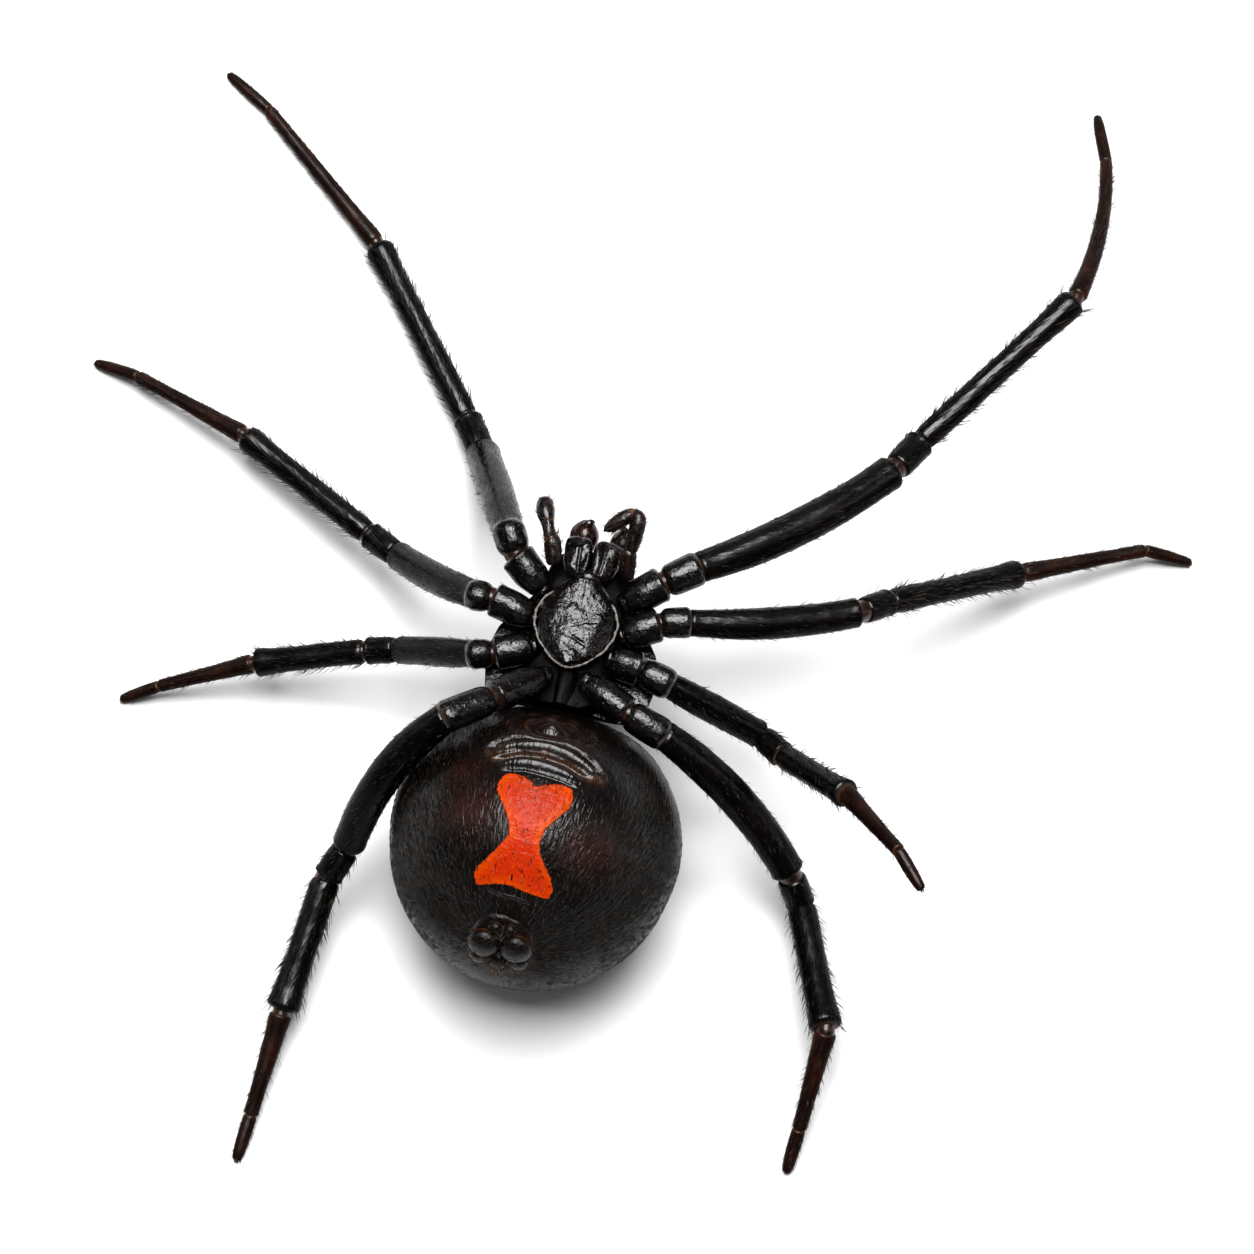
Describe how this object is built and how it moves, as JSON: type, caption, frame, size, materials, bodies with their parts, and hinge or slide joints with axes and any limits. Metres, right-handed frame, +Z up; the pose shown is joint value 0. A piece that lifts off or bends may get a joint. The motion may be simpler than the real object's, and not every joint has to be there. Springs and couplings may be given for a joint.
{
  "type": "black widow spider model",
  "caption": "Still life-size black widow spider lying on its back with spread legs, hourglass mark on the belly facing up.",
  "frame": {"origin": "middle of the small flat on the back of the abdomen, on which the model rests", "axes": "+Z up, out of the belly; +Y from the abdomen towards the head; +X towards the animal's own left"},
  "size_m": [0.0309, 0.0335, 0.0076],
  "materials": {
    "abdomen_skin": "satin black skin with short flat hairs and an orange-red hourglass mark",
    "shell_black": "glossy black shell plates",
    "leg_black": "satin black leg cuticle with short bristles",
    "foot_brown": "satin dark reddish brown",
    "brown_cuticle": "glossy dark red-brown"
  },
  "bodies": {
    "root": {"abdomen": "abdomen_skin", "spinnerets": "brown_cuticle", "pedicel": "shell_black", "carapace": "shell_black", "sternum": "shell_black", "mouthparts": "shell_black", "chelicera_right": "brown_cuticle", "palp_right": "brown_cuticle", "leg_right_1_hip": "shell_black", "leg_right_1_femur": "leg_black", "leg_right_1_tibia": "leg_black", "leg_right_1_foot": "foot_brown", "leg_right_2_hip": "shell_black", "leg_right_2_femur": "leg_black", "leg_right_2_tibia": "leg_black", "leg_right_2_foot": "foot_brown", "leg_right_3_hip": "shell_black", "leg_right_3_femur": "leg_black", "leg_right_3_tibia": "leg_black", "leg_right_3_foot": "foot_brown", "leg_right_4_hip": "shell_black", "leg_right_4_femur": "leg_black", "leg_right_4_tibia": "leg_black", "leg_right_4_foot": "foot_brown", "chelicera_left": "brown_cuticle", "palp_left": "brown_cuticle", "leg_left_1_hip": "shell_black", "leg_left_1_femur": "leg_black", "leg_left_1_tibia": "leg_black", "leg_left_1_foot": "foot_brown", "leg_left_2_hip": "shell_black", "leg_left_2_femur": "leg_black", "leg_left_2_tibia": "leg_black", "leg_left_2_foot": "foot_brown", "leg_left_3_hip": "shell_black", "leg_left_3_femur": "leg_black", "leg_left_3_tibia": "leg_black", "leg_left_3_foot": "foot_brown", "leg_left_4_hip": "shell_black", "leg_left_4_femur": "leg_black", "leg_left_4_tibia": "leg_black", "leg_left_4_foot": "foot_brown"}
  },
  "joints": []
}
